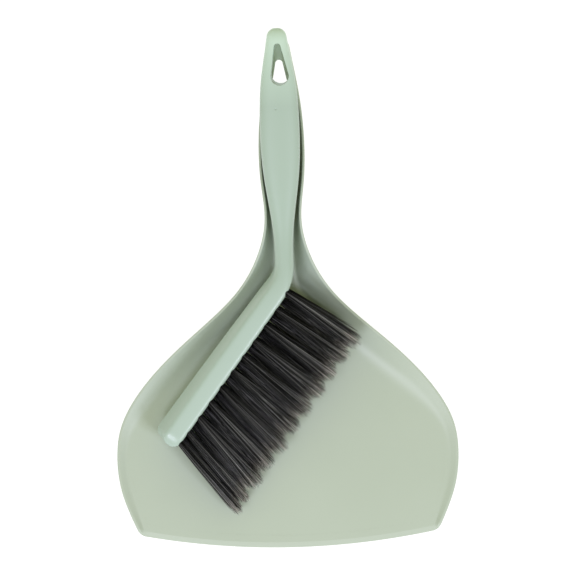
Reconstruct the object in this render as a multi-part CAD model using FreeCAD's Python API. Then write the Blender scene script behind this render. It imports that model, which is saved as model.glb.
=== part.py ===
"""A dustpan with its hand brush lying nested on it, as the set is stored.

Millimetres, +Z up. The pan lies flat on z = 0 with its handle towards +Y and its sweeping lip towards -Y,
and the origin is under the middle of the set. The brush lies on its side: its handle rests in the
channel of the pan's handle, and its head crosses the pan's floor with the bristles towards +X -Y.
"""

import FreeCAD, Part

import math
import os

V = FreeCAD.Vector

# The set
LENGTH = 330.0  # from the pan's lip to the tip of the brush
LIP_Y = -LENGTH / 2

# Pan: (y, half width at the rim), from the lip end to the end of the handle
PAN_OUTLINE = (
    (-156.0, 95.0),
    (-130.0, 105.8),
    (-104.0, 109.0),
    (-87.0, 106.5),
    (-68.0, 96.9),
    (-36.2, 67.9),
    (-4.4, 32.9),
    (21.0, 17.2),
    (44.0, 11.8),
    (66.0, 13.6),
    (94.0, 14.5),
    (126.0, 11.4),
    (151.0, 6.8),
    (165.0, 4.6),
)
PAN_CORNER_Y = -155.5  # where the bowed lip meets the sides
PAN_CORNER_RADIUS = 8.0
PAN_TIP_Y = 160.0
PAN_TIP_RADIUS = 6.7  # half width where the tip begins to round off
TIP_TURN = math.radians(41.0)
RIM_HEIGHT = 33.0  # along the handle
RIM_FALL_Y = 70.0  # in front of this the rim falls in one smooth sweep to the lip
RIM_FALL_POWER = 2.2
RIM_FRONT_HEIGHT = 3.4
FLOOR_THICKNESS = 2.0
NECK_START_Y = -10.0  # between these the pan's wide section turns into the handle's narrow one
NECK_END_Y = 50.0
RIM_THICKNESS = 3.0
HANDLE_RIM_THICKNESS = 1.6
WALL_DRAFT = math.tan(math.radians(38.0))
HANDLE_WALL_DRAFT = math.tan(math.radians(5.0))
FLOOR_FILLET = 12.0
HANDLE_FLOOR_FILLET = 6.0
OUTER_FILLET_EXTRA = 1.5
CHANNEL_HEIGHT = 21.0  # of the channel's floor, inside the handle
RAMP_START_Y = -24.0
RAMP_END_Y = 50.0
TRIM = 0.4  # how far a cutting shape stands clear of the surface that it trims
OVERRUN = 12.0  # how far the inside of the pan is carried on above the rim
BLOCK_LOW = -5.0  # cutting blocks reach from under the set to over it
BLOCK_HEIGHT = 70.0
BLOCK_WIDTH = 400.0

# Brush: its middle plane is tilted about X, with the toe of the head low and the handle high
TILT = math.atan(0.125)
PLANE_HEIGHT = 29.0  # of the middle plane over the origin
BEND = V(0.45, 5.8, 0)  # where the handle's line and the head's line cross
HANDLE_HEADING = math.radians(-0.8)  # turned from -Y towards -X
HEAD_HEADING = math.radians(36.5)
BEND_RADIUS = 30.0
HANDLE_LENGTH = 160.4  # from the bend to the tip
HEAD_LENGTH = 128.6  # from the bend to the toe
TIP_RADIUS = 5.2
TOE_RADIUS = 4.0
HEAD_HALF_WIDTH = 6.2
# (distance from the tip, half size): across the face that is uppermost, and through the brush
BRUSH_HALF_WIDTH = (
    (0.0, 5.6),
    (13.7, 7.7),
    (30.0, 10.5),
    (52.0, 12.3),
    (72.0, 12.5),
    (90.0, 11.6),
    (113.0, 8.6),
    (132.0, 6.4),
    (148.0, 6.0),
    (170.0, HEAD_HALF_WIDTH),
    (290.0, HEAD_HALF_WIDTH),
)
BRUSH_HALF_DEPTH = (
    (0.0, 5.2),
    (30.0, 7.0),
    (52.0, 7.6),
    (80.0, 7.9),
    (113.0, 8.5),
    (135.0, 9.2),
    (152.0, 11.0),
    (170.0, 12.8),
    (200.0, 13.0),
    (290.0, 13.0),
)
HEAD_START = 146.0  # from the tip: the round handle turns into the square head
HEAD_FULL = 170.0
ROUND_EXPONENT = 5.0
SQUARE_EXPONENT = 8.0
CROWN_AT_BEND = 3.0  # how far the head's back bulges at its middle
CROWN_AT_TOE = 5.2
SIDE_STEPS = 12  # in the curve along each of the four sides of a section

# Bristles
TUFT_PITCH = 12.0
FIRST_TUFT = 6.6  # from the bend, along the head
LAST_TUFT = 122.6
TUFTS_PER_ROW = (11, 10, 11, 10)  # from the row that is uppermost, each one staggered from the next
ROW_PITCH = 6.5
TUFT_RADIUS = 2.15
HOLE_RADIUS = 2.25
HOLE_DEPTH = 9.0
ROOT_GAP = 0.2  # between a tuft's root and the bottom of its hole
MOUTH_LENGTH = 0.3  # how far a tuft stays round outside its hole
SLOT_CLEARANCE = 0.05
BRISTLE_LENGTH = 56.5
BRISTLE_SPLAY = math.radians(14.5)  # how far the tufts lean towards the toe at that end
TIP_HALF_WIDTH = 6.0
TIP_HALF_THICKNESS = 2.85
ALMOST_ROUND = 0.999  # an ellipse's sizes can't be equal
TIP_STACK = 5.93  # height between rows whose tips lie on one another
TUFT_FLOOR_GAP = 0.7
STAPLE = V(0.4, 4.2, 2.0)  # thickness, width and height of the wire that holds a tuft in its hole

# Hanging holes: a teardrop between a large circle and a small one
HOLE_LARGE_RADIUS = 5.8
HOLE_SMALL_RADIUS = 2.2
BRUSH_HOLE = (V(-0.4, 136.0, 0), V(-1.6, 154.6, 0))
PAN_HOLE = (V(-0.1, 124.0, 0), V(-0.5, 142.6, 0))


def spline(points):
    """The smooth curve through (position, value) points: a natural cubic spline as a function."""
    xs = [p[0] for p in points]
    ys = [p[1] for p in points]
    gaps = [b - a for a, b in zip(xs, xs[1:])]
    slopes = [(b - a) / g for a, b, g in zip(ys, ys[1:], gaps)]
    bends = [0.0] * len(xs)
    factor, load = [0.0], [0.0]
    for i in range(1, len(xs) - 1):
        pivot = 2 * (gaps[i - 1] + gaps[i]) - gaps[i - 1] * factor[-1]
        factor.append(gaps[i] / pivot)
        load.append((6 * (slopes[i] - slopes[i - 1]) - gaps[i - 1] * load[-1]) / pivot)
    for i in range(len(xs) - 2, 0, -1):
        bends[i] = load[i] - factor[i] * bends[i + 1]

    def value(x):
        i = max(k for k in range(len(gaps)) if k == 0 or x >= xs[k])
        left, right, gap = x - xs[i], xs[i + 1] - x, gaps[i]
        curve = (bends[i] * (right**3 / gap - gap * right) + bends[i + 1] * (left**3 / gap - gap * left)) / 6
        return curve + (ys[i] * right + ys[i + 1] * left) / gap

    return value


def ease(x, start, end):
    """0 before start, 1 after end, and a smooth rise between them."""
    t = min(1.0, max(0.0, (x - start) / (end - start)))
    return t * t * (3 - 2 * t)


pan_half_width = spline(PAN_OUTLINE)
brush_half_width = spline(BRUSH_HALF_WIDTH)
brush_half_depth = spline(BRUSH_HALF_DEPTH)


# ---- Pan ----


def rim_height(y):
    share = ease(y, PAN_CORNER_Y, RIM_FALL_Y) ** RIM_FALL_POWER
    return RIM_FRONT_HEIGHT + (RIM_HEIGHT - RIM_FRONT_HEIGHT) * share


def floor_height(y):
    """Height of the floor's upper face: flat, then the ramp up into the handle's channel."""
    rise = (CHANNEL_HEIGHT - FLOOR_THICKNESS) * ease(y, RAMP_START_Y, RAMP_END_Y)
    return FLOOR_THICKNESS + rise


def from_pan_to_handle(y, on_pan, on_handle):
    return on_pan + (on_handle - on_pan) * ease(y, NECK_START_Y, NECK_END_Y)


def widening(y):
    """How much wider a wall that follows the outline is when it is cut across at y."""
    slope = pan_half_width(y + 0.5) - pan_half_width(y - 0.5)
    return math.sqrt(1 + slope * slope)


def mirrored(point):
    return V(-point.x, point.y, point.z)


def wall_section(y, top_x, foot_x, top_z, foot_z, fillet, over):
    """Closed wire across the pan at y: a flat bottom, two filleted corners, and slanted sides."""
    run = V(top_x - foot_x, 0, top_z - foot_z)
    up = V(run).normalize()
    fillet = min(fillet, 0.45 * run.Length, 0.8 * foot_x)
    reach = fillet * math.tan((math.pi / 2 - math.atan2(run.x, run.z)) / 2)
    corner = V(foot_x, 0, foot_z)
    centre = V(foot_x - reach, 0, foot_z + fillet)
    middle = centre + (corner - centre).normalize() * fillet
    half = [V(foot_x - reach, y, foot_z), V(middle.x, y, middle.z), V(corner + up * reach)]
    half[2].y = y
    top = V(corner + up * (run.Length + over))
    top.y = y
    half.append(top)
    left = [mirrored(p) for p in half]
    edges = [
        Part.makeLine(left[0], half[0]),
        Part.Arc(half[0], half[1], half[2]).toShape(),
        Part.makeLine(half[2], half[3]),
        Part.makeLine(half[3], left[3]),
        Part.makeLine(left[3], left[2]),
        Part.Arc(left[2], left[1], left[0]).toShape(),
    ]
    return Part.Wire(edges)


def pan_sizes(y):
    """The inner wall's top and foot, from the middle of the pan at y."""
    wide = widening(y)
    inner_top = pan_half_width(y) - from_pan_to_handle(y, RIM_THICKNESS, HANDLE_RIM_THICKNESS) * wide
    draft = from_pan_to_handle(y, WALL_DRAFT, HANDLE_WALL_DRAFT)
    return inner_top, inner_top - (rim_height(y) - floor_height(y)) * draft * wide


def pan_section(y, inside):
    top_z, floor_z = rim_height(y), floor_height(y)
    inner_top, inner_foot = pan_sizes(y)
    fillet = from_pan_to_handle(y, FLOOR_FILLET, HANDLE_FLOOR_FILLET)
    if inside:
        return wall_section(y, inner_top, inner_foot, top_z, floor_z, fillet, OVERRUN)
    base_z = floor_z - FLOOR_THICKNESS - TRIM * (1 - ease(y, RAMP_START_Y, 0.0))
    foot = inner_foot + FLOOR_THICKNESS * widening(y)
    return wall_section(y, pan_half_width(y), foot, top_z, base_z, fillet + OUTER_FILLET_EXTRA, 0.0)


def pan_stations():
    """Where the pan is cut across: closest together round the neck, where it changes most."""
    front = [LIP_Y - 3.0 + 16.0 * i for i in range(9)]
    neck = [-30.0 + 8.0 * i for i in range(11)]
    handle = [61.0 + 12.5 * i for i in range(9)]
    return front + neck + handle


def outline_prism():
    """Upright block with the outline of the pan seen from above, a little wider along the sides."""
    shoulder_y = PAN_TIP_Y - TIP_RADIUS
    ys = [PAN_CORNER_Y] + [y for y, _ in PAN_OUTLINE if PAN_CORNER_Y < y < shoulder_y]
    side = [V(pan_half_width(y) + TRIM, y, BLOCK_LOW) for y in ys]
    side.append(V(PAN_TIP_RADIUS, shoulder_y, BLOCK_LOW))
    turn = V(PAN_TIP_RADIUS * math.cos(TIP_TURN), shoulder_y + TIP_RADIUS * math.sin(TIP_TURN), BLOCK_LOW)
    round_tip = [side[-1], turn, V(0, PAN_TIP_Y, BLOCK_LOW), mirrored(turn), mirrored(side[-1])]
    curves = []
    for points in (side, round_tip, [mirrored(p) for p in reversed(side)]):
        curve = Part.BSplineCurve()
        curve.interpolate(points)
        curves.append(curve)
    curves.append(Part.Arc(mirrored(side[0]), V(0, LIP_Y, BLOCK_LOW), side[0]))
    prism = Part.Face(Part.Wire([c.toShape() for c in curves])).extrude(V(0, 0, BLOCK_HEIGHT))
    upright = [e for e in prism.Edges if e.BoundBox.ZLength > BLOCK_HEIGHT - TRIM]
    corners = [e for e in upright if e.BoundBox.YMax < PAN_CORNER_Y + PAN_CORNER_RADIUS]
    return prism.makeFillet(PAN_CORNER_RADIUS, corners)


def teardrop(centres, low, high):
    """Upright block with a teardrop outline, from z = low to high."""
    big, small = centres
    axis = small - big
    lean = math.acos((HOLE_LARGE_RADIUS - HOLE_SMALL_RADIUS) / axis.Length)
    heading = math.atan2(axis.y, axis.x)

    def around(centre, radius, angle):
        return centre + V(math.cos(heading + angle), math.sin(heading + angle), 0) * radius

    a, b = around(big, HOLE_LARGE_RADIUS, lean), around(big, HOLE_LARGE_RADIUS, -lean)
    c, d = around(small, HOLE_SMALL_RADIUS, -lean), around(small, HOLE_SMALL_RADIUS, lean)
    edges = [
        Part.Arc(a, around(big, HOLE_LARGE_RADIUS, math.pi), b).toShape(),
        Part.makeLine(b, c),
        Part.Arc(c, around(small, HOLE_SMALL_RADIUS, 0.0), d).toShape(),
        Part.makeLine(d, a),
    ]
    face = Part.Face(Part.Wire(edges))
    face.translate(V(0, 0, low))
    return face.extrude(V(0, 0, high - low))


def make_dustpan():
    """Thin shell: floor, low sides that rise to the neck, and a channel for a handle."""
    stations = pan_stations()
    outer = Part.makeLoft([pan_section(y, False) for y in stations], True, False)
    inner = Part.makeLoft([pan_section(y, True) for y in stations], True, False)
    corner = V(-BLOCK_WIDTH / 2, -BLOCK_WIDTH / 2, 0)
    above_floor = Part.makeBox(BLOCK_WIDTH, BLOCK_WIDTH, BLOCK_HEIGHT, corner)
    tip_end = V(-BLOCK_WIDTH / 2, PAN_TIP_Y - HANDLE_RIM_THICKNESS, 0)
    tip_wall = Part.makeBox(BLOCK_WIDTH, BLOCK_WIDTH, BLOCK_HEIGHT, tip_end)
    shell = outer.common(above_floor).common(outline_prism()).cut(inner.cut(tip_wall))
    return shell.cut(teardrop(PAN_HOLE, 0, BLOCK_HEIGHT))


# ---- Brush ----


def place_on_pan(shape):
    """Turn a shape that is built flat, in the brush's own middle plane, to where the brush lies."""
    shape.rotate(V(0, 0, 0), V(1, 0, 0), math.degrees(TILT))
    shape.translate(V(0, 0, PLANE_HEIGHT))
    return shape


def heading_vector(heading):
    return V(-math.sin(heading), -math.cos(heading), 0)


def side_vector(heading):
    """Across the brush, towards the bristles."""
    return V(math.cos(heading), -math.sin(heading), 0)


BEND_ANGLE = HEAD_HEADING - HANDLE_HEADING
BEND_REACH = BEND_RADIUS * math.tan(BEND_ANGLE / 2)
STRAIGHT = HANDLE_LENGTH - BEND_REACH
ARC = BEND_RADIUS * BEND_ANGLE
BRUSH_LENGTH = STRAIGHT + ARC + HEAD_LENGTH - BEND_REACH


def spine(s):
    """Point and heading of the brush's centre line, s from its tip: straight, an arc, and straight."""
    if s <= STRAIGHT:
        return BEND - heading_vector(HANDLE_HEADING) * (HANDLE_LENGTH - s), HANDLE_HEADING
    if s >= STRAIGHT + ARC:
        along = BEND_REACH + s - STRAIGHT - ARC
        return BEND + heading_vector(HEAD_HEADING) * along, HEAD_HEADING
    heading = HANDLE_HEADING + (s - STRAIGHT) / BEND_RADIUS
    start = BEND - heading_vector(HANDLE_HEADING) * BEND_REACH
    centre = start - side_vector(HANDLE_HEADING) * BEND_RADIUS
    return centre + side_vector(heading) * BEND_RADIUS, heading


def end_inset(s):
    """How far the surface is drawn in near the two rounded ends."""
    for radius, depth in ((TIP_RADIUS, s), (TOE_RADIUS, BRUSH_LENGTH - s)):
        if depth < radius:
            return radius - math.sqrt(radius**2 - (radius - depth) ** 2)
    return 0.0


def brush_section(s):
    """Wire of four curves across the brush: a superellipse that squares up and gains a crowned back."""
    centre, heading = spine(s)
    squareness = ease(s, HEAD_START, HEAD_FULL)
    exponent = ROUND_EXPONENT + (SQUARE_EXPONENT - ROUND_EXPONENT) * squareness
    along = (s - HEAD_FULL) / (BRUSH_LENGTH - HEAD_FULL)
    crown = squareness * (CROWN_AT_BEND + (CROWN_AT_TOE - CROWN_AT_BEND) * along)
    half_width = brush_half_width(s) - end_inset(s)
    half_depth = brush_half_depth(s) - end_inset(s)

    def point(angle):
        c, d = math.cos(angle), math.sin(angle)
        reach = (abs(c / half_width) ** exponent + abs(d / half_depth) ** exponent) ** (-1 / exponent)
        across, depth = reach * c, reach * d
        if c < 0:
            across -= crown * (1 - (depth / half_depth) ** 2)
        return centre + side_vector(heading) * across + V(0, 0, depth)

    corner = math.atan2(half_depth, half_width)
    steps = [math.sin(math.pi * (i / SIDE_STEPS - 0.5)) for i in range(SIDE_STEPS + 1)]
    other = math.pi / 2 - corner
    edges = []
    for middle, spread in ((0.0, corner), (0.5, other), (1.0, corner), (1.5, other)):
        curve = Part.BSplineCurve()
        curve.interpolate([point(math.pi * middle + spread * step) for step in steps])
        edges.append(curve.toShape())
    return Part.Wire(edges)


def brush_stations():
    tip = [0.1, 0.6, 1.6, 3.2, TIP_RADIUS]
    handle = [12.0 * i for i in range(1, 13)]
    bend = [150.0 + 5.0 * i for i in range(6)]
    head = [190.0 + 15.0 * i for i in range(7)]
    toe = [BRUSH_LENGTH - d for d in (TOE_RADIUS, 2.2, 1.0, 0.3, 0.02)]
    return tip + handle + bend + head[:-1] + toe


def row_positions(row):
    """Distances of one row's tufts from the bend, along the head."""
    if TUFTS_PER_ROW[row] == 11:
        return [FIRST_TUFT + TUFT_PITCH * i for i in range(10)] + [LAST_TUFT]
    return [FIRST_TUFT + TUFT_PITCH * (i + 0.5) for i in range(10)]


def tuft_axis(row, position):
    """Root on the bristle face, direction and tip of a tuft, in the brush's own plane."""
    root, heading = spine(STRAIGHT + ARC + position - BEND_REACH)
    depth = ROW_PITCH * (1.5 - row)
    root = root + side_vector(heading) * HEAD_HALF_WIDTH + V(0, 0, depth)
    lean = BRISTLE_SPLAY * ease(((position - FIRST_TUFT) / (LAST_TUFT - FIRST_TUFT)) ** 1.2, 0.0, 0.9)
    out = side_vector(HEAD_HEADING) + heading_vector(HEAD_HEADING) * math.tan(lean)
    tip = root + out * BRISTLE_LENGTH
    lowest = FLOOR_THICKNESS + TUFT_FLOOR_GAP + TIP_HALF_THICKNESS + (3 - row) * TIP_STACK
    resting = (lowest - PLANE_HEIGHT - tip.y * math.sin(TILT)) / math.cos(TILT)
    tip.z = max(depth, resting)
    return root, (tip - root).normalize(), tip


def ellipse_wire(centre, normal, across, half_across, half_through):
    """Closed wire round an ellipse that is square to normal; the first half size is the larger."""
    through = normal.cross(across) * half_through
    ellipse = Part.Ellipse(centre + across * half_across, centre + through, centre)
    return Part.Wire([ellipse.toShape()])


def make_tuft(row, position, tip_half_width):
    """One bundle of filaments as a plain solid: round in its hole, and fanned out flat at the tips."""
    root, out, tip = tuft_axis(row, position)
    across = V(0, 0, 1).cross(out).normalize()
    seat = side_vector(HEAD_HEADING)
    bottom = root - seat * (HOLE_DEPTH - ROOT_GAP)
    mouth = root + seat * MOUTH_LENGTH
    along = V(0, 0, 1).cross(seat)
    plug_wire = ellipse_wire(bottom, seat, along, TUFT_RADIUS, ALMOST_ROUND * TUFT_RADIUS)
    mouth_wire = ellipse_wire(mouth, seat, along, TUFT_RADIUS, ALMOST_ROUND * TUFT_RADIUS)
    tip_wire = ellipse_wire(tip, out, across, tip_half_width, TIP_HALF_THICKNESS)
    plug = Part.makeLoft([plug_wire, mouth_wire], True, True)
    fan = Part.makeLoft([mouth_wire, tip_wire], True, True)
    return place_on_pan(plug.fuse(fan).cut(staple_box(row, position, SLOT_CLEARANCE)))


def staple_box(row, position, clearance):
    """The flat wire across the bottom of a tuft's hole, or the slot that it sits in."""
    root, _, _ = tuft_axis(row, position)
    size = STAPLE + V(2, 2, 2) * clearance
    box = Part.makeBox(size.z, size.x, size.y, V(-clearance, -size.x / 2, -size.y / 2))
    box.rotate(V(0, 0, 0), V(0, 0, 1), -math.degrees(HEAD_HEADING))
    box.translate(root - side_vector(HEAD_HEADING) * (HOLE_DEPTH - ROOT_GAP - clearance / 2))
    return box


def make_staples(row):
    boxes = [place_on_pan(staple_box(row, position, 0.0)) for position in row_positions(row)]
    return Part.makeCompound(boxes)


def make_brush_body():
    """Handle and head in one moulding, with the hanging hole and the drilled tuft holes."""
    body = Part.makeLoft([brush_section(s) for s in brush_stations()], True, False)
    holes = [teardrop(BRUSH_HOLE, -BLOCK_HEIGHT / 2, BLOCK_HEIGHT / 2)]
    for row in range(len(TUFTS_PER_ROW)):
        for position in row_positions(row):
            root, _, _ = tuft_axis(row, position)
            outward = side_vector(HEAD_HEADING)
            bottom = root - outward * HOLE_DEPTH
            holes.append(Part.makeCylinder(HOLE_RADIUS, 1.5 * HOLE_DEPTH, bottom, outward))
    return place_on_pan(body.cut(holes))


def tip_half_width(row, index):
    """Half the room that a tuft has between the tips of its neighbours."""
    tips = [tuft_axis(row, position)[2] for position in row_positions(row)]
    near = [abs((tips[k] - tips[index]).Length) for k in (index - 1, index + 1) if 0 <= k < len(tips)]
    return min(TIP_HALF_WIDTH, 0.46 * min(near))


def main():
    os.makedirs("parts", exist_ok=True)
    nodes = {"dustpan": make_dustpan(), "brush_body": make_brush_body()}
    for row in range(len(TUFTS_PER_ROW)):
        nodes[f"staples_row_{row + 1}"] = make_staples(row)
        for index, position in enumerate(row_positions(row)):
            name = f"tuft_row_{row + 1}_{index + 1:02d}"
            nodes[name] = make_tuft(row, position, tip_half_width(row, index))
    for name, shape in nodes.items():
        shape.exportStep(f"parts/{name}.step")
        print(name, shape.isValid(), round(shape.Volume, 1), shape.BoundBox)


main()
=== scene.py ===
"""Looks of a dustpan with its hand brush lying nested on it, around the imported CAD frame.

Sizes are in millimetres, +Z up, in the CAD's own frame, and become metres when a mesh is made.
"""

import math

import bmesh
import bpy
import numpy as np
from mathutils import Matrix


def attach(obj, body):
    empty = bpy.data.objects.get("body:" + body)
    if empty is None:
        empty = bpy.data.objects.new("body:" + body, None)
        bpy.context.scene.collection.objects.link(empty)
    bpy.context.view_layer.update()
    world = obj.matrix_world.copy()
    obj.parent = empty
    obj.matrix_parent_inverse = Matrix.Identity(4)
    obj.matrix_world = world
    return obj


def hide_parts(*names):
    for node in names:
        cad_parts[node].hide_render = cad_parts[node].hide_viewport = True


MM = 0.001
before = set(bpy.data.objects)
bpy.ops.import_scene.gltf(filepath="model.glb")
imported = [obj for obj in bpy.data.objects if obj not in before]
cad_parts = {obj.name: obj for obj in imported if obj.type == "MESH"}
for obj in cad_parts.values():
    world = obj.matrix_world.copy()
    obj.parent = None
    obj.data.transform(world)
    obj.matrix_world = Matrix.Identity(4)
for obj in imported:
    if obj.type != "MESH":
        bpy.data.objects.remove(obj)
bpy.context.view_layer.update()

# ---- Sizes that the looks share with the frame ----

PAN_OUTLINE = (  # y, half width at the rim
    (-156.0, 95.0),
    (-130.0, 105.8),
    (-104.0, 109.0),
    (-87.0, 106.5),
    (-68.0, 96.9),
    (-36.2, 67.9),
    (-4.4, 32.9),
    (21.0, 17.2),
    (44.0, 11.8),
    (66.0, 13.6),
    (94.0, 14.5),
    (126.0, 11.4),
    (151.0, 6.8),
    (165.0, 4.6),
)
LIP_Y = -165.0
CORNER_Y = -155.5
CORNER_RADIUS = 8.0
TIP_Y = 160.0
RIM_HEIGHT = 33.0
RIM_FALL_Y = 70.0
RIM_FALL_POWER = 2.2
RIM_FRONT_HEIGHT = 3.4
FLOOR_THICKNESS = 2.0
CHANNEL_HEIGHT = 21.0
RAMP_START_Y = -24.0
RAMP_END_Y = 50.0

TILT = math.atan(0.125)
PLANE_HEIGHT = 29.0
BEND = np.array((0.45, 5.8))
HANDLE_HEADING = math.radians(-0.8)
HEAD_HEADING = math.radians(36.5)
BEND_RADIUS = 30.0
HANDLE_LENGTH = 160.4
HEAD_LENGTH = 128.6
TIP_RADIUS = 5.2
BRUSH_HALF_WIDTH = (  # distance from the tip, half size across the uppermost face
    (0.0, 5.6),
    (13.7, 7.7),
    (30.0, 10.5),
    (52.0, 12.3),
    (72.0, 12.5),
    (90.0, 11.6),
    (113.0, 8.6),
    (132.0, 6.4),
    (148.0, 6.0),
    (170.0, 6.2),
    (290.0, 6.2),
)
BRUSH_HALF_DEPTH = (  # distance from the tip, half size through the brush
    (0.0, 5.2),
    (30.0, 7.0),
    (52.0, 7.6),
    (80.0, 7.9),
    (113.0, 8.5),
    (135.0, 9.2),
    (152.0, 11.0),
    (170.0, 12.8),
    (200.0, 13.0),
    (290.0, 13.0),
)
HEAD_START = 146.0
HEAD_FULL = 170.0
ROUND_EXPONENT = 5.0
SQUARE_EXPONENT = 8.0
CROWN_AT_BEND = 3.0
CROWN_AT_TOE = 5.2
HOLE_LARGE_RADIUS = 5.8
HOLE_SMALL_RADIUS = 2.2
BRUSH_HOLE = ((-0.4, 136.0), (-1.6, 154.6))
PAN_HOLE = ((-0.1, 124.0), (-0.5, 142.6))
HOLE_DEPTH = 9.0


def smooth_curve(points):
    """The natural cubic spline through (position, value) points, as a function of an array."""
    xs, ys = np.array(points, float).T
    gaps = np.diff(xs)
    slopes = np.diff(ys) / gaps
    system = np.eye(len(xs))
    load = np.zeros(len(xs))
    for i in range(1, len(xs) - 1):
        system[i, i - 1 : i + 2] = gaps[i - 1], 2 * (gaps[i - 1] + gaps[i]), gaps[i]
        load[i] = 6 * (slopes[i] - slopes[i - 1])
    bends = np.linalg.solve(system, load)

    def value(x):
        i = np.clip(np.searchsorted(xs, x, side="right") - 1, 0, len(gaps) - 1)
        left, right, gap = x - xs[i], xs[i + 1] - x, gaps[i]
        curve = bends[i] * (right**3 / gap - gap * right) + bends[i + 1] * (left**3 / gap - gap * left)
        return curve / 6 + (ys[i] * right + ys[i + 1] * left) / gap

    return value


def ease(x, start, end):
    """0 before start, 1 after end, and a smooth rise between them."""
    t = np.clip((x - start) / (end - start), 0.0, 1.0)
    return t * t * (3 - 2 * t)


pan_half_width = smooth_curve(PAN_OUTLINE)
brush_half_width = smooth_curve(BRUSH_HALF_WIDTH)
brush_half_depth = smooth_curve(BRUSH_HALF_DEPTH)


def unit(vector):
    vector = np.asarray(vector, float)
    return vector / np.linalg.norm(vector)


# ---- Mesh helpers ----


def new_object(name, vertices, faces):
    """A mesh object from points in millimetres."""
    mesh = bpy.data.meshes.new(name)
    mesh.from_pydata((np.asarray(vertices, float) * MM).tolist(), [], faces)
    thing = bpy.data.objects.new(name, mesh)
    bpy.context.scene.collection.objects.link(thing)
    return thing


def clean(thing, merge=0.002):
    """Merge points that meet, drop faces with no area, and turn every face outwards."""
    bm = bmesh.new()
    bm.from_mesh(thing.data)
    bmesh.ops.remove_doubles(bm, verts=bm.verts, dist=merge * MM)
    bmesh.ops.dissolve_degenerate(bm, edges=bm.edges, dist=merge * MM)
    bmesh.ops.recalc_face_normals(bm, faces=bm.faces)
    bm.to_mesh(thing.data)
    bm.free()


def shade(thing, degrees):
    thing.data.shade_smooth()
    thing.data.set_sharp_from_angle(angle=math.radians(degrees))


def cut(thing, cutter):
    """Subtract one object from another, and delete the cutter."""
    modifier = thing.modifiers.new("cut", "BOOLEAN")
    modifier.operation = "DIFFERENCE"
    modifier.solver = "EXACT"
    modifier.object = cutter
    graph = bpy.context.evaluated_depsgraph_get()
    graph.update()
    mesh = bpy.data.meshes.new_from_object(thing.evaluated_get(graph))
    thing.modifiers.remove(modifier)
    old = thing.data
    thing.data = mesh
    mesh.name = thing.name
    bpy.data.meshes.remove(old)
    bpy.data.objects.remove(cutter)


def grid_faces(rows, columns, first=0, closed=False):
    """Quads between rows of points; closed also joins each row's last point to its first."""
    span = columns if closed else columns - 1
    faces = []
    for i in range(rows - 1):
        for k in range(span):
            a, b = first + i * columns + k, first + i * columns + (k + 1) % columns
            faces.append((a, b, b + columns, a + columns))
    return faces


def teardrop_outline(centres, grow):
    """Points round a teardrop: a large circle and a small one, and the lines that touch both."""
    big, small = (np.array(c) for c in centres)
    axis = small - big
    lean = math.acos((HOLE_LARGE_RADIUS - HOLE_SMALL_RADIUS) / np.linalg.norm(axis))
    heading = math.atan2(axis[1], axis[0])
    points = []
    for centre, radius, start, end in (
        (big, HOLE_LARGE_RADIUS, lean, 2 * math.pi - lean),
        (small, HOLE_SMALL_RADIUS, -lean, lean),
    ):
        for angle in np.linspace(start, end, 40):
            out = np.array((math.cos(heading + angle), math.sin(heading + angle)))
            points.append(centre + out * (radius + grow))
    return np.array(points)


def teardrop_cutter(centres, levels, place):
    """A closed solid with a teardrop outline; levels are (height, growth, shift across)."""
    rings = []
    for height, grow, shift in levels:
        outline = teardrop_outline(centres, grow) + np.array((shift, 0.0))
        rings.append(place(np.column_stack([outline, np.full(len(outline), height)])))
    count = len(rings[0])
    faces = grid_faces(len(rings), count, closed=True)
    faces.append(tuple(range(count)))
    faces.append(tuple(range((len(rings) - 1) * count, len(rings) * count)))
    cutter = new_object("cutter", np.concatenate(rings), faces)
    clean(cutter)
    return cutter


# ---- Pan ----

NECK_START_Y = 8.0  # between these the pan's wide section turns into the handle's narrow one
NECK_END_Y = 50.0
PAN_RIM = 2.0  # width of the edge along the top of the walls
HANDLE_RIM = 1.6
RIM_ROUND = 0.7
TIP_START_Y = 152.5  # from here to TIP_Y the rail rounds off
PAN_WALL_START = 3.0  # from the outline to where the wall would meet the top, were the edge square
PAN_DRAFT = math.tan(math.radians(38.0))  # lean of the walls
HANDLE_DRAFT = math.tan(math.radians(5.0))
LOW_WALL_LEAN = 1.5  # how much more the walls lean where they are low
PAN_FILLET = 26.0
HANDLE_FILLET = 6.0
SMALLEST_FILLET = 0.3
FILLET_PER_WALL = 4.5  # largest fillet, as a multiple of the wall's height
FILLET_LOSS_AT_CORNER = 3.7  # how much less that is at the front corners
CORNER_FADE = 20.0  # length over which the front corners' own shape gives way to the sides'
LOW_WALL = 3.0  # a wall of this height has all of the extra lean
TALL_WALL = 14.0  # and one of this height has none
FOOT_SHARE_LIMIT = 0.8  # how much of the half width a wall and its fillet may take up
FOOT_MARGIN = 0.1
FOOT_GUESS = 4.0
FOOT_PASSES = 8  # the foot's place and the floor's height there are found in turns
LIP_BAND = CORNER_RADIUS  # from the edge to where the floor's grid begins
LIP_BAND_END_Y = 100.0
BOW_START_Y = -150.0  # between these the floor's grid turns from bowed rows to straight ones
BOW_END_Y = -95.0
LIP_POINTS = 46
CORNER_POINTS = 9
SIDE_STEP = 1.7
TIP_POINTS = 16


def rim_height(y):
    share = ease(y, CORNER_Y, RIM_FALL_Y) ** RIM_FALL_POWER
    return RIM_FRONT_HEIGHT + (RIM_HEIGHT - RIM_FRONT_HEIGHT) * share


def floor_height(y):
    return FLOOR_THICKNESS + (CHANNEL_HEIGHT - FLOOR_THICKNESS) * ease(y, RAMP_START_Y, RAMP_END_Y)


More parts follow.
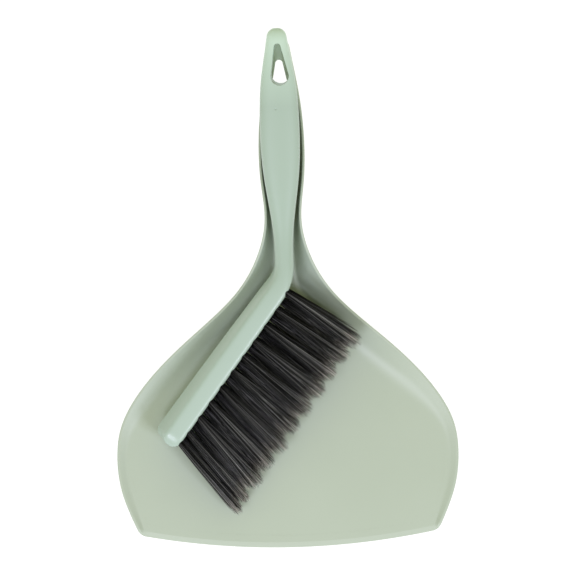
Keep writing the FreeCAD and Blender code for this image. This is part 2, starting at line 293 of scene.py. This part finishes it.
def pan_rail():
    """Right half of the outline, from the middle of the lip to the tip: points, inward normals, and
    how far each point has turned from the lip (0) to the side (1)."""
    corner = np.array((pan_half_width(CORNER_Y), CORNER_Y))
    bow = CORNER_Y - LIP_Y
    side_way = unit((pan_half_width(CORNER_Y + 0.5) - pan_half_width(CORNER_Y - 0.5), 1.0))
    lip_way = unit((1.0, 2 * bow / corner[0]))
    reach = CORNER_RADIUS * math.tan(math.acos(side_way @ lip_way) / 2)
    centre = corner - lip_way * reach + np.array((-lip_way[1], lip_way[0])) * CORNER_RADIUS

    lip_x = np.linspace(0.0, corner[0] - lip_way[0] * reach, LIP_POINTS)
    lip = np.column_stack([lip_x, LIP_Y + bow * (lip_x / corner[0]) ** 2])
    start = math.atan2(-lip_way[0], lip_way[1])
    end = math.atan2(-side_way[0], side_way[1])
    angles = np.linspace(start, end, CORNER_POINTS)
    arc = centre + CORNER_RADIUS * np.column_stack([np.cos(angles), np.sin(angles)])
    side_start = CORNER_Y + side_way[1] * reach
    side_y = np.linspace(side_start, TIP_START_Y, round((TIP_START_Y - side_start) / SIDE_STEP))
    side = np.column_stack([pan_half_width(side_y), side_y])
    turn = np.linspace(0.0, math.pi / 2, TIP_POINTS)[1:]
    tip_y = TIP_START_Y + (TIP_Y - TIP_START_Y) * np.sin(turn)
    tip = np.column_stack([pan_half_width(tip_y) * np.cos(turn), tip_y])

    points = np.concatenate([lip[:-1], arc, side[1:], tip])
    travel = np.concatenate([[0.0], np.cumsum(np.linalg.norm(np.diff(points, axis=0), axis=1))])
    tangent = np.column_stack([np.gradient(points[:, 0], travel), np.gradient(points[:, 1], travel)])
    normal = np.column_stack([-tangent[:, 1], tangent[:, 0]])
    normal[0] = (0.0, 1.0)
    normal[-1] = (0.0, -1.0)
    first, last = LIP_POINTS - 1, LIP_POINTS - 1 + CORNER_POINTS
    normal[first:last] = (centre - arc) / CORNER_RADIUS
    normal /= np.linalg.norm(normal, axis=1)[:, None]
    turned = np.zeros(len(points))
    turned[first:last] = np.linspace(0.0, 1.0, CORNER_POINTS)
    turned[last:] = 1.0
    return points, normal, turned


def rounded(corners):
    """Polyline through (across, height, radius, points) corners, each rounded by a smooth curve."""
    line = [np.array(corners[0][:2])]
    for before, here, after in zip(corners, corners[1:], corners[2:]):
        point = np.array(here[:2])
        back, on = np.array(before[:2]) - point, np.array(after[:2]) - point
        back_length, on_length = np.linalg.norm(back), np.linalg.norm(on)
        back, on = back / back_length, on / on_length
        half = math.acos(max(-1.0, min(1.0, back @ on))) / 2
        turn = math.pi - 2 * half
        reach = min(here[2] / math.tan(max(half, 0.01)), 0.46 * back_length, 0.46 * on_length)
        handle = 0.55 if turn < 0.01 else 4 / 3 * math.tan(turn / 4) / math.tan(turn / 2)
        knots = (point + back * reach, point + back * reach * (1 - handle))
        knots += (point + on * reach * (1 - handle), point + on * reach)
        for t in np.linspace(0.0, 1.0, here[3]):
            weights = ((1 - t) ** 3, 3 * t * (1 - t) ** 2, 3 * t * t * (1 - t), t**3)
            line.append(sum(w * k for w, k in zip(weights, knots)))
    line.append(np.array(corners[-1][:2]))
    return np.array(line)


def band_profile(point, normal, turned):
    """Closed shell's section at one place on the rail, from the underside round the rim to the floor."""
    y = point[1]
    height = rim_height(y)
    handle_share = ease(y, NECK_START_Y, NECK_END_Y)
    width = PAN_RIM + (HANDLE_RIM - PAN_RIM) * handle_share
    wall_start = PAN_WALL_START + (HANDLE_RIM - PAN_WALL_START) * handle_share
    draft = PAN_DRAFT + (HANDLE_DRAFT - PAN_DRAFT) * handle_share
    largest = PAN_FILLET + (HANDLE_FILLET - PAN_FILLET) * handle_share
    foot_share = math.tan((math.pi / 2 - math.atan(draft)) / 2)
    limit = FOOT_SHARE_LIMIT * pan_half_width(min(y, TIP_START_Y))
    foot = width + FOOT_GUESS
    near_corner = 1 - ease(y, CORNER_Y, CORNER_Y + CORNER_FADE)
    fillet_factor = FILLET_PER_WALL - FILLET_LOSS_AT_CORNER * near_corner
    for _ in range(FOOT_PASSES):
        floor = floor_height(y + normal[1] * foot)
        wall = height - floor
        lean = LOW_WALL_LEAN * (1 - ease(wall, LOW_WALL, TALL_WALL)) * (1 - near_corner)
        base = wall_start + draft * wall * (1 + lean)
        room = max(SMALLEST_FILLET, (limit - base - FOOT_MARGIN) / foot_share)
        fillet = min(largest, fillet_factor * wall, room)
        reach = base + foot_share * fillet + FOOT_MARGIN
        foot = 0.5 * foot + 0.5 * (max(LIP_BAND, reach) if y < LIP_BAND_END_Y else reach)
    under = floor - FLOOR_THICKNESS
    side = (
        (foot, under, 0.0, 1),
        (max(0.3, base - 2.2), under, fillet + 1.6, 8),
        (0.0, height, RIM_ROUND, 6),
        (width, height, RIM_ROUND, 6),
        (base, floor, fillet, 12),
        (foot, floor, 0.0, 1),
    )
    lip = (
        (foot, 0.0, 0.0, 1),
        (0.5, 0.0, 0.4, 8),
        (0.0, 1.2, 0.4, 6),
        (0.9, 1.6, 0.6, 6),
        (3.4, FLOOR_THICKNESS, 2.0, 12),
        (foot, FLOOR_THICKNESS, 0.0, 1),
    )
    share = turned * turned * (3 - 2 * turned)
    corners = []
    for on_side, on_lip in zip(side, lip):
        mixed = [share * a + (1 - share) * b for a, b in zip(on_side[:3], on_lip[:3])]
        corners.append((*mixed, on_side[3]))
    return rounded(corners)


def make_pan():
    points, normals, turned = pan_rail()
    bands = []
    for point, normal, share in zip(points, normals, turned):
        profile = band_profile(point, normal, share)
        plan = point + normal * profile[:, :1]
        bands.append(np.column_stack([plan, profile[:, 1]]))
    bands = np.array(bands)
    bands[0, :, 0] = 0.0
    bands[-1, :, 0] = 0.0
    rows, columns = bands.shape[:2]

    corner = LIP_POINTS - 1 + CORNER_POINTS // 2
    first_side = LIP_POINTS - 1 + CORNER_POINTS - 1
    lip_feet = bands[:LIP_POINTS, -1, :2]
    side_feet = bands[first_side:, -1, :2]
    lip_feet[-1] = side_feet[0] = bands[corner, -1, :2]
    across = lip_feet[:, 0] / lip_feet[-1, 0]
    bow = lip_feet[:, 1] - lip_feet[-1, 1]
    sheet = np.zeros((len(side_feet), LIP_POINTS, 3))
    fade = 1 - ease(side_feet[:, 1], BOW_START_Y, BOW_END_Y)
    sheet[:, :, 0] = side_feet[:, :1] * across
    sheet[:, :, 1] = side_feet[:, 1:] + fade[:, None] * bow
    sheet[:, :, 2] = floor_height(sheet[:, :, 1])
    underside = sheet.copy()
    underside[:, :, 2] -= FLOOR_THICKNESS

    vertices, faces = [], []
    for mirror in (1.0, -1.0):
        for patch in (bands, sheet, underside):
            flat = patch.reshape(-1, 3) * np.array((mirror, 1.0, 1.0))
            faces += grid_faces(patch.shape[0], patch.shape[1], first=sum(len(v) for v in vertices))
            vertices.append(flat)
    pan = new_object("pan_shell", np.concatenate(vertices), faces)
    clean(pan)
    levels = (
        (15.0, 1.2, 0.0),
        (18.6, 0.9, 0.0),
        (19.0, 0.45, 0.0),
        (19.5, 0.1, 0.0),
        (20.3, 0.1, 0.0),
        (20.8, 0.4, 0.0),
        (21.1, 1.0, 0.0),
        (24.0, 1.3, 0.0),
    )
    cut(pan, teardrop_cutter(PAN_HOLE, levels, lambda p: p))
    clean(pan, 0.0005)
    shade(pan, 38.0)
    return pan


# ---- Brush ----


def on_pan(points):
    """From the brush's own plane (x, y, depth) to where the brush lies."""
    points = np.asarray(points, float)
    y = points[:, 1] * math.cos(TILT) - points[:, 2] * math.sin(TILT)
    z = points[:, 1] * math.sin(TILT) + points[:, 2] * math.cos(TILT) + PLANE_HEIGHT
    return np.column_stack([points[:, 0], y, z])


def off_pan(point):
    """From where the brush lies back to the brush's own plane, for one point."""
    x, y, z = point - np.array((0.0, 0.0, PLANE_HEIGHT))
    own_y = y * math.cos(TILT) + z * math.sin(TILT)
    own_z = z * math.cos(TILT) - y * math.sin(TILT)
    return np.array((x, own_y, own_z))


def along_vector(heading):
    return np.array((-math.sin(heading), -math.cos(heading)))


def side_vector(heading):
    """Across the brush, towards the bristles."""
    return np.array((math.cos(heading), -math.sin(heading)))


BEND_ANGLE = HEAD_HEADING - HANDLE_HEADING
BEND_REACH = BEND_RADIUS * math.tan(BEND_ANGLE / 2)
STRAIGHT = HANDLE_LENGTH - BEND_REACH
ARC = BEND_RADIUS * BEND_ANGLE
BRUSH_LENGTH = STRAIGHT + ARC + HEAD_LENGTH - BEND_REACH


def spine(s):
    """Point and heading of the brush's centre line, s from its tip: straight, an arc, and straight."""
    if s <= STRAIGHT:
        return BEND - along_vector(HANDLE_HEADING) * (HANDLE_LENGTH - s), HANDLE_HEADING
    if s >= STRAIGHT + ARC:
        return BEND + along_vector(HEAD_HEADING) * (BEND_REACH + s - STRAIGHT - ARC), HEAD_HEADING
    heading = HANDLE_HEADING + (s - STRAIGHT) / BEND_RADIUS
    start = BEND - along_vector(HANDLE_HEADING) * BEND_REACH
    centre = start - side_vector(HANDLE_HEADING) * BEND_RADIUS
    return centre + side_vector(heading) * BEND_RADIUS, heading


def end_inset(s, tip_radius, toe_radius):
    for radius, depth in ((tip_radius, s), (toe_radius, BRUSH_LENGTH - s)):
        if depth < radius:
            return radius - math.sqrt(radius**2 - (radius - depth) ** 2)
    return 0.0


SIDE_STEPS = 22
FACE_CROWN = 0.22  # how much thinner the handle is at its edges, as a share of its depth
HEAD_CROWN_LOSS = 0.85  # share of that which is gone in the square head
TOE_CORNER_RADIUS = 5.8
END_FALL = 8.0  # length over which the faces fall away to the two ends
END_FALL_SHARE = 0.6  # how far they fall, as a share of a full quarter round
STATION_STEP = 2.5
GATE_MARK = (-3.3, 115.3)
GATE_MARK_RADIUS = 0.8
GATE_MARK_DEPTH = 0.35
GATE_MARK_SIDES = 24
TUFT_HOLE_RADIUS = 2.25
TUFT_HOLE_MOUTH_RADIUS = 2.7
TUFT_HOLE_SIDES = 20


def brush_section(s):
    """Points round the brush: a superellipse that squares up and gains a crowned back in the head."""
    centre, heading = spine(s)
    squareness = ease(s, HEAD_START, HEAD_FULL)
    exponent = ROUND_EXPONENT + (SQUARE_EXPONENT - ROUND_EXPONENT) * squareness
    along = (s - HEAD_FULL) / (BRUSH_LENGTH - HEAD_FULL)
    full_width = float(brush_half_width(s))
    half_width = full_width - end_inset(s, TIP_RADIUS, TOE_CORNER_RADIUS)
    half_depth = float(brush_half_depth(s)) - END_FALL_SHARE * end_inset(s, END_FALL, END_FALL)
    crown = squareness * (CROWN_AT_BEND + (CROWN_AT_TOE - CROWN_AT_BEND) * along) * half_width / full_width
    face_crown = FACE_CROWN - FACE_CROWN * HEAD_CROWN_LOSS * squareness
    corner = math.atan2(half_depth, half_width)
    steps = np.sin(math.pi / 2 * np.linspace(-1.0, 1.0, SIDE_STEPS + 1)[:-1])
    angles = np.concatenate(
        [
            corner * steps,
            math.pi / 2 + (math.pi / 2 - corner) * steps,
            math.pi + corner * steps,
            1.5 * math.pi + (math.pi / 2 - corner) * steps,
        ]
    )
    c, d = np.cos(angles), np.sin(angles)
    reach = (np.abs(c / half_width) ** exponent + np.abs(d / half_depth) ** exponent) ** (-1 / exponent)
    across, depth = reach * c, reach * d
    bulge = 1 - np.abs(depth / half_depth)
    across = across - np.where(c < 0, crown * bulge, 0.0)
    depth = depth * (1 - face_crown * (across / full_width) ** 2)
    plan = centre + across[:, None] * side_vector(heading)
    return np.column_stack([plan, depth])


def brush_stations():
    quarter = np.linspace(0.16, math.pi / 2, 14)
    tip = END_FALL * (1 - np.cos(quarter))
    toe = BRUSH_LENGTH - END_FALL * (1 - np.cos(quarter))[::-1]
    handle = np.arange(END_FALL + 2.0, STRAIGHT - 1.0, STATION_STEP)
    bend = np.linspace(STRAIGHT, STRAIGHT + ARC, 28)
    head = np.arange(STRAIGHT + ARC + 1.5, BRUSH_LENGTH - END_FALL - 1.0, STATION_STEP)
    return np.concatenate([tip, handle, bend, head, toe])


def tuft_hole_cutter(mouths):
    """All of the drilled holes in one object; mouths are the points where their axes leave the head."""
    out = np.append(side_vector(HEAD_HEADING), 0.0)
    across = np.append(along_vector(HEAD_HEADING), 0.0)
    up = np.array((0.0, 0.0, 1.0))
    vertices, faces = [], []
    sides = TUFT_HOLE_SIDES
    levels = (
        (-HOLE_DEPTH, TUFT_HOLE_RADIUS),
        (-0.5, TUFT_HOLE_RADIUS),
        (0.4, TUFT_HOLE_MOUTH_RADIUS),
        (4.0, TUFT_HOLE_MOUTH_RADIUS),
    )
    for mouth in mouths:
        for reach, radius in levels:
            for k in range(sides):
                angle = 2 * math.pi * k / sides
                around = across * math.cos(angle) + up * math.sin(angle)
                vertices.append(mouth + out * reach + around * radius)
        first = len(vertices) - 4 * sides
        faces += grid_faces(4, sides, first=first, closed=True)
        faces.append(tuple(range(first, first + sides)))
        faces.append(tuple(range(first + 3 * sides, first + 4 * sides)))
    cutter = new_object("cutter", on_pan(vertices), faces)
    clean(cutter)
    return cutter


def gate_mark_cutter():
    """A ball that leaves a shallow round dimple where the plastic entered the mould."""
    ball = (GATE_MARK_RADIUS**2 + GATE_MARK_DEPTH**2) / (2 * GATE_MARK_DEPTH)
    station = HANDLE_LENGTH + BEND[1] - GATE_MARK[1]
    surface = brush_section(station)
    top = surface[surface[:, 2] > 0]
    order = np.argsort(top[:, 0])
    height = np.interp(GATE_MARK[0], top[order, 0], top[order, 2])
    centre = np.array((*GATE_MARK, height + ball - GATE_MARK_DEPTH))
    rings = []
    for up in np.linspace(-0.5, 0.5, GATE_MARK_SIDES + 1)[1:-1] * math.pi:
        turn = np.linspace(0.0, 2 * math.pi, GATE_MARK_SIDES + 1)[:-1]
        level = np.full(GATE_MARK_SIDES, math.tan(up))
        ring = np.column_stack([np.cos(turn), np.sin(turn), level]) * math.cos(up)
        rings.append(on_pan(centre + ball * ring))
    count = GATE_MARK_SIDES
    faces = grid_faces(len(rings), count, closed=True)
    faces.append(tuple(range(count)))
    faces.append(tuple(range(count * (len(rings) - 1), count * len(rings))))
    cutter = new_object("cutter", np.concatenate(rings), faces)
    clean(cutter)
    return cutter


def make_brush_body(mouths):
    sections = [on_pan(brush_section(s)) for s in brush_stations()]
    count = len(sections[0])
    faces = grid_faces(len(sections), count, closed=True)
    faces.append(tuple(range(count)))
    faces.append(tuple(range((len(sections) - 1) * count, len(sections) * count)))
    body = new_object("brush_moulding", np.concatenate(sections), faces)
    clean(body)
    levels = (
        (-20.0, 1.5, 1.2),
        (-10.6, 1.2, 1.2),
        (-9.8, 0.6, 1.1),
        (-9.0, 0.1, 1.0),
        (0.0, -0.2, 0.4),
        (9.0, 0.1, 0.0),
        (9.8, 0.6, 0.0),
        (10.6, 1.2, 0.0),
        (20.0, 1.5, 0.0),
    )
    cut(body, teardrop_cutter(BRUSH_HOLE, levels, on_pan))
    cut(body, gate_mark_cutter())
    cut(body, tuft_hole_cutter(mouths))
    clean(body, 0.0005)
    shade(body, 32.0)
    return body


# ---- Bristles ----

FILAMENTS = 110
FILAMENT_RINGS = 8
FILAMENT_SIDES = 3
FILAMENT_RADIUS = 0.19
EDGE_SHORTFALL = 5.0  # how much shorter the filaments at a tuft's edges are
ROW_SHORTFALL = 3.5  # how much shorter the second and fourth rows are, whose tufts lie behind the gaps
DROOP = 0.5  # share of its height that a tip sinks by at the toe's end
DROOP_START = 50.0  # towards the lip, where tips begin to sink, and where they sink by that whole share
DROOP_FULL = 110.0
TIP_FLOOR_GAP = 1.0
ROOT_GAP = 0.2
ROOT_DEPTH = 2.0  # how far inside the hole's mouth the filaments begin
ROOT_RADIUS = 1.9
TIP_SPREAD = 1.02  # of the filaments' tips, as a share of the CAD tuft's end
TIP_SCATTER = 0.07
DISK_SCATTER = 0.035
RAGGEDNESS = 2.6
UNEVENNESS = 1.5  # up to how much shorter a whole tuft is
FACE_SHORTFALL = 2.0  # how much shorter the filaments at a tuft's two faces are
OVERREACH = (2.0, 4.5)  # how far filaments go past the CAD tuft's end, before they are shortened
SWAY = 0.5
TAPER = 0.75  # share of its radius that a filament loses at its tip
BOTTOM_SLICE = 0.05  # how thick a slice of the CAD tuft's mesh is taken as its bottom
END_SHARE = 0.93  # how far out the CAD tuft's end ring begins, as a share of its longest reach


def tuft_frame(node):
    """Mouth, tip, and the tip's two half sizes as vectors, from the CAD node's own mesh, in millimetres."""
    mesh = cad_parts[node].data
    points = np.zeros(len(mesh.vertices) * 3)
    mesh.vertices.foreach_get("co", points)
    points = np.unique(np.round(points.reshape(-1, 3) / MM, 4), axis=0)
    out = on_pan([np.append(side_vector(HEAD_HEADING), 0.0)])[0] - on_pan([(0.0, 0.0, 0.0)])[0]
    reach = points @ out
    bottom = points[reach < reach.min() + BOTTOM_SLICE].mean(axis=0)
    away = np.linalg.norm(points - bottom, axis=1)
    ring = points[away > END_SHARE * away.max()]
    tip = ring.mean(axis=0)
    _, sizes, axes = np.linalg.svd(ring - tip, full_matrices=False)
    sizes = sizes * math.sqrt(2.0 / len(ring))
    mouth = bottom + out * (HOLE_DEPTH - ROOT_GAP)
    return mouth, tip, out, axes[0] * sizes[0], axes[1] * sizes[1]


def disk_points(count, rng):
    """Evenly scattered points in the unit disk."""
    k = np.arange(count) + 0.5
    radius = np.sqrt(k / count)
    angle = math.pi * (1 + math.sqrt(5)) * k
    points = np.column_stack([radius * np.cos(angle), radius * np.sin(angle)])
    return points + rng.normal(0.0, DISK_SCATTER, (count, 2))


def make_tuft(node, rng):
    mouth, tip, out, wide, thick = tuft_frame(node)
    away = unit(tip - mouth)
    lift = np.cross(out, unit(wide))
    disk = disk_points(FILAMENTS, rng)
    start = mouth - out * ROOT_DEPTH
    start = start + disk[:, :1] * unit(wide) * ROOT_RADIUS + disk[:, 1:] * unit(lift) * ROOT_RADIUS
    spread = disk * TIP_SPREAD + rng.normal(0.0, TIP_SCATTER, (FILAMENTS, 2))
    ragged = np.abs(rng.normal(0.0, 1.0, FILAMENTS)) * RAGGEDNESS
    notch = EDGE_SHORTFALL * np.minimum(np.abs(spread[:, 0]) ** 3, 1.4)
    behind_a_gap = int(node.split("_")[2]) % 2 == 0
    short = rng.uniform(0.0, UNEVENNESS) + ragged + notch + FACE_SHORTFALL * spread[:, 1] ** 2
    short = short + ROW_SHORTFALL * behind_a_gap
    end = tip + away * rng.uniform(*OVERREACH) - away * short[:, None]
    end = end + spread[:, :1] * wide + spread[:, 1:] * thick
    t = np.linspace(0.0, 1.0, FILAMENT_RINGS)[:, None, None]
    sway = rng.normal(0.0, SWAY, (FILAMENTS, 3)) * (t * (1 - t) * 2)
    line = start + (end - start) * t + sway
    droop = DROOP * ease(-tip[1], DROOP_START, DROOP_FULL) * (end[:, 2] - FLOOR_THICKNESS - TIP_FLOOR_GAP)
    line[:, :, 2] -= droop * t[:, :, 0] ** 2
    radius = FILAMENT_RADIUS * (1 - TAPER * np.linspace(0.0, 1.0, FILAMENT_RINGS) ** 3)
    turn = rng.uniform(0.0, 2 * math.pi, FILAMENTS)
    e1 = unit(np.cross(away, (0.0, 0.0, 1.0)))
    e2 = np.cross(away, e1)
    vertices = np.zeros((FILAMENTS, FILAMENT_RINGS, FILAMENT_SIDES, 3))
    for k in range(FILAMENT_SIDES):
        angle = turn + 2 * math.pi * k / FILAMENT_SIDES
        ring = np.cos(angle)[:, None] * e1 + np.sin(angle)[:, None] * e2
        for j in range(FILAMENT_RINGS):
            vertices[:, j, k] = line[j] + ring * radius[j]
    per = FILAMENT_RINGS * FILAMENT_SIDES
    template = grid_faces(FILAMENT_RINGS, FILAMENT_SIDES, closed=True)
    caps = [tuple(range(FILAMENT_SIDES)), tuple(range(per - FILAMENT_SIDES, per))]
    faces = [tuple(v + i * per for v in face) for i in range(FILAMENTS) for face in template + caps]
    tuft = new_object(node.replace("tuft", "bristles"), vertices.reshape(-1, 3), faces)
    layer = tuft.data.uv_layers.new(name="fibre")
    loops = np.zeros(len(tuft.data.loops), np.int64)
    tuft.data.loops.foreach_get("vertex_index", loops)
    # Painted light: a few random filaments are made much lighter as painted highlight streaks, and
    # filaments towards a tuft's sides darker as painted shade.
    painted_sheen_and_shade = rng.uniform(0.0, 1.0, FILAMENTS) ** 4 * (1 - 0.7 * np.minimum(np.abs(spread[:, 0]), 1.0))
    ring_of = (loops % per) // FILAMENT_SIDES
    uv = np.column_stack([ring_of / (FILAMENT_RINGS - 1), painted_sheen_and_shade[loops // per]])
    layer.data.foreach_set("uv", uv.astype(np.float32).ravel())
    tuft.data.shade_smooth()
    return tuft, mouth


# ---- Materials ----


def new_material(name):
    material = bpy.data.materials.new(name)
    material.use_nodes = True
    nodes, links = material.node_tree.nodes, material.node_tree.links
    return material, nodes, links, nodes["Principled BSDF"]


TIP_PAINTED_LIGHT_GAIN = 1.5  # painted light: how much the base colour is lightened towards the handles' tips, standing in for the brighter light there
TIP_PAINTED_LIGHT_START = 0.115  # along Y, in metres as the shader has them
TIP_PAINTED_LIGHT_FULL = 0.16


def plastic(name, low, high, roughness, coat, grain, bump):
    """Moulded plastic: faint flow clouds in the colour, uneven gloss, a fine grain, and painted light that
    lightens the colour towards the handles' tips.
    """
    material, nodes, links, shader = new_material(name)
    place = nodes.new("ShaderNodeTexCoord")
    clouds = nodes.new("ShaderNodeTexNoise")
    clouds.inputs["Scale"].default_value = 14.0
    clouds.inputs["Detail"].default_value = 3.0
    links.new(place.outputs["Object"], clouds.inputs["Vector"])
    tint = nodes.new("ShaderNodeValToRGB")
    tint.color_ramp.elements[0].position = 0.3
    tint.color_ramp.elements[0].color = (*low, 1.0)
    tint.color_ramp.elements[1].position = 0.7
    tint.color_ramp.elements[1].color = (*high, 1.0)
    links.new(clouds.outputs["Fac"], tint.inputs["Fac"])
    reach = nodes.new("ShaderNodeSeparateXYZ")
    links.new(place.outputs["Object"], reach.inputs["Vector"])
    # Painted light: the colour is scaled up from 1 to the gain along +Y, a painted highlight on the
    # handles' tips.
    painted_tip_light = nodes.new("ShaderNodeMapRange")
    painted_tip_light.inputs["From Min"].default_value = TIP_PAINTED_LIGHT_START
    painted_tip_light.inputs["From Max"].default_value = TIP_PAINTED_LIGHT_FULL
    painted_tip_light.inputs["To Min"].default_value = 1.0
    painted_tip_light.inputs["To Max"].default_value = TIP_PAINTED_LIGHT_GAIN
    links.new(reach.outputs["Y"], painted_tip_light.inputs["Value"])
    tint_with_tip_light = nodes.new("ShaderNodeVectorMath")
    tint_with_tip_light.operation = "SCALE"
    links.new(tint.outputs["Color"], tint_with_tip_light.inputs[0])
    links.new(painted_tip_light.outputs["Result"], tint_with_tip_light.inputs["Scale"])
    links.new(tint_with_tip_light.outputs["Vector"], shader.inputs["Base Color"])
    fine = nodes.new("ShaderNodeTexNoise")
    fine.inputs["Scale"].default_value = grain
    fine.inputs["Detail"].default_value = 2.0
    links.new(place.outputs["Object"], fine.inputs["Vector"])
    gloss = nodes.new("ShaderNodeMapRange")
    gloss.inputs["To Min"].default_value = roughness - 0.05
    gloss.inputs["To Max"].default_value = roughness + 0.05
    links.new(clouds.outputs["Fac"], gloss.inputs["Value"])
    links.new(gloss.outputs["Result"], shader.inputs["Roughness"])
    relief = nodes.new("ShaderNodeBump")
    relief.inputs["Strength"].default_value = bump
    relief.inputs["Distance"].default_value = 0.0001
    links.new(fine.outputs["Fac"], relief.inputs["Height"])
    links.new(relief.outputs["Normal"], shader.inputs["Normal"])
    shader.inputs["IOR"].default_value = 1.49
    shader.inputs["Coat Weight"].default_value = coat
    shader.inputs["Coat Roughness"].default_value = 0.08
    return material


def bristle_material():
    material, nodes, links, shader = new_material("bristle_fibre")
    fibre = nodes.new("ShaderNodeUVMap")
    fibre.uv_map = "fibre"
    split = nodes.new("ShaderNodeSeparateXYZ")
    links.new(fibre.outputs["UV"], split.inputs["Vector"])
    along = nodes.new("ShaderNodeValToRGB")
    ramp = along.color_ramp
    ramp.elements[0].position = 0.0
    ramp.elements[0].color = (0.004, 0.004, 0.004, 1.0)
    ramp.elements[1].position = 1.0
    ramp.elements[1].color = (0.055, 0.051, 0.047, 1.0)
    middle = ramp.elements.new(0.8)
    middle.color = (0.020, 0.020, 0.020, 1.0)
    links.new(split.outputs["X"], along.inputs["Fac"])
    # Painted light: the per-filament value multiplies the colour by 0.2 to 24, giving the painted highlight
    # streaks and painted shade.
    filament_sheen_and_shade = nodes.new("ShaderNodeValToRGB")
    filament_sheen_and_shade.color_ramp.elements[0].color = (0.2, 0.2, 0.2, 1.0)
    filament_sheen_and_shade.color_ramp.elements[1].color = (24.0, 24.0, 24.0, 1.0)
    links.new(split.outputs["Y"], filament_sheen_and_shade.inputs["Fac"])
    blend = nodes.new("ShaderNodeMix")
    blend.data_type = "RGBA"
    blend.blend_type = "MULTIPLY"
    blend.inputs["Factor"].default_value = 1.0
    links.new(along.outputs["Color"], blend.inputs["A"])
    links.new(filament_sheen_and_shade.outputs["Color"], blend.inputs["B"])
    links.new(blend.outputs["Result"], shader.inputs["Base Color"])
    shader.inputs["Roughness"].default_value = 0.35
    shader.inputs["Specular IOR Level"].default_value = 0.15
    return material


def steel_material():
    material, nodes, links, shader = new_material("staple_steel")
    place = nodes.new("ShaderNodeTexCoord")
    drawn = nodes.new("ShaderNodeTexNoise")
    drawn.inputs["Scale"].default_value = 900.0
    links.new(place.outputs["Object"], drawn.inputs["Vector"])
    gloss = nodes.new("ShaderNodeMapRange")
    gloss.inputs["To Min"].default_value = 0.25
    gloss.inputs["To Max"].default_value = 0.5
    links.new(drawn.outputs["Fac"], gloss.inputs["Value"])
    links.new(gloss.outputs["Result"], shader.inputs["Roughness"])
    shader.inputs["Base Color"].default_value = (0.62, 0.61, 0.58, 1.0)
    shader.inputs["Metallic"].default_value = 1.0
    return material


# ---- Pieces ----

pan = make_pan()
pan.data.materials.clear()
satin = plastic(
    "pan_satin",
    low=(0.440, 0.505, 0.426),
    high=(0.452, 0.517, 0.438),
    roughness=0.42,
    coat=0.0,
    grain=1500.0,
    bump=0.25,
)
pan.data.materials.append(satin)
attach(pan, "dustpan")
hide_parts("dustpan")

fibre = bristle_material()
mouths = []
tuft_nodes = sorted(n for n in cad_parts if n.startswith("tuft_"))
for index, node in enumerate(tuft_nodes):
    tuft, mouth = make_tuft(node, np.random.default_rng(100 + index))
    tuft.data.materials.append(fibre)
    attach(tuft, "brush")
    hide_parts(node)
    mouths.append(off_pan(mouth))

body = make_brush_body(mouths)
body.data.materials.clear()
gloss = plastic(
    "brush_gloss",
    low=(0.402, 0.510, 0.458),
    high=(0.414, 0.522, 0.470),
    roughness=0.34,
    coat=0.06,
    grain=900.0,
    bump=0.08,
)
body.data.materials.append(gloss)
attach(body, "brush")
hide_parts("brush_body")

steel = steel_material()
for node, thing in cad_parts.items():
    if node.startswith("staples_"):
        thing.data.materials.clear()
        thing.data.materials.append(steel)

# ---- Stage ----

FLOOR_REACH = 20.0  # metres, as are the other sizes of the stage
FLOOR_DROP = 0.0002  # keeps the floor from sharing a plane with the pan's underside
floor_mesh = bpy.data.meshes.new("floor")
corners = [(x * FLOOR_REACH, y * FLOOR_REACH, 0) for x, y in ((-1, -1), (1, -1), (1, 1), (-1, 1))]
floor_mesh.from_pydata(corners, [], [(0, 1, 2, 3)])
floor = bpy.data.objects.new("floor", floor_mesh)
floor.location.z = -FLOOR_DROP
bpy.context.scene.collection.objects.link(floor)
paper, _, _, shader = new_material("paper")
shader.inputs["Base Color"].default_value = (0.2, 0.2, 0.2, 1.0)
shader.inputs["Roughness"].default_value = 0.9
shader.inputs["Specular IOR Level"].default_value = 0.0
shader.inputs["Emission Color"].default_value = (1.0, 1.0, 1.0, 1.0)
shader.inputs["Emission Strength"].default_value = 0.93
floor.data.materials.append(paper)

world = bpy.data.worlds.new("studio")
world.use_nodes = True
world.node_tree.nodes["Background"].inputs["Color"].default_value = (1.0, 1.0, 0.56, 1.0)
world.node_tree.nodes["Background"].inputs["Strength"].default_value = 0.50
bpy.context.scene.world = world

LAMP_DISTANCE = 1.5
LAMP_COLOUR = (0.80, 0.80, 1.0)


def softbox(name, heading, elevation, size, watts):
    """A square lamp that faces the set; heading is turned from +X towards +Y, in degrees."""
    around, up = math.radians(heading), math.radians(elevation)
    light = bpy.data.lights.new(name, "AREA")
    light.shape = "SQUARE"
    light.size = size
    light.energy = watts
    light.color = LAMP_COLOUR
    lamp = bpy.data.objects.new(name, light)
    way = (math.cos(around) * math.cos(up), math.sin(around) * math.cos(up), math.sin(up))
    lamp.location = [LAMP_DISTANCE * part for part in way]
    lamp.rotation_euler = (-lamp.location).to_track_quat("-Z", "Y").to_euler()
    lamp.visible_camera = False
    bpy.context.scene.collection.objects.link(lamp)


softbox("left_lamp", 236.0, 54.0, 0.5, 10.8)
softbox("right_lamp", -48.0, 52.0, 0.4, 9.2)

CAMERA_DISTANCE = 12.0
VIEW_WIDTH = 0.3663
CAMERA_X = 0.00226
CAMERA_ROLL = math.radians(-1.2)
SENSOR_WIDTH = 36.0
camera_data = bpy.data.cameras.new("camera")
camera_data.sensor_width = SENSOR_WIDTH
camera_data.lens = SENSOR_WIDTH * CAMERA_DISTANCE / VIEW_WIDTH
camera_data.clip_end = 100.0
camera = bpy.data.objects.new("camera", camera_data)
camera.location = (CAMERA_X, 0.0, CAMERA_DISTANCE)
camera.rotation_euler = (0.0, 0.0, CAMERA_ROLL)
bpy.context.scene.collection.objects.link(camera)
bpy.context.scene.camera = camera
bpy.context.scene.view_settings.view_transform = "Standard"
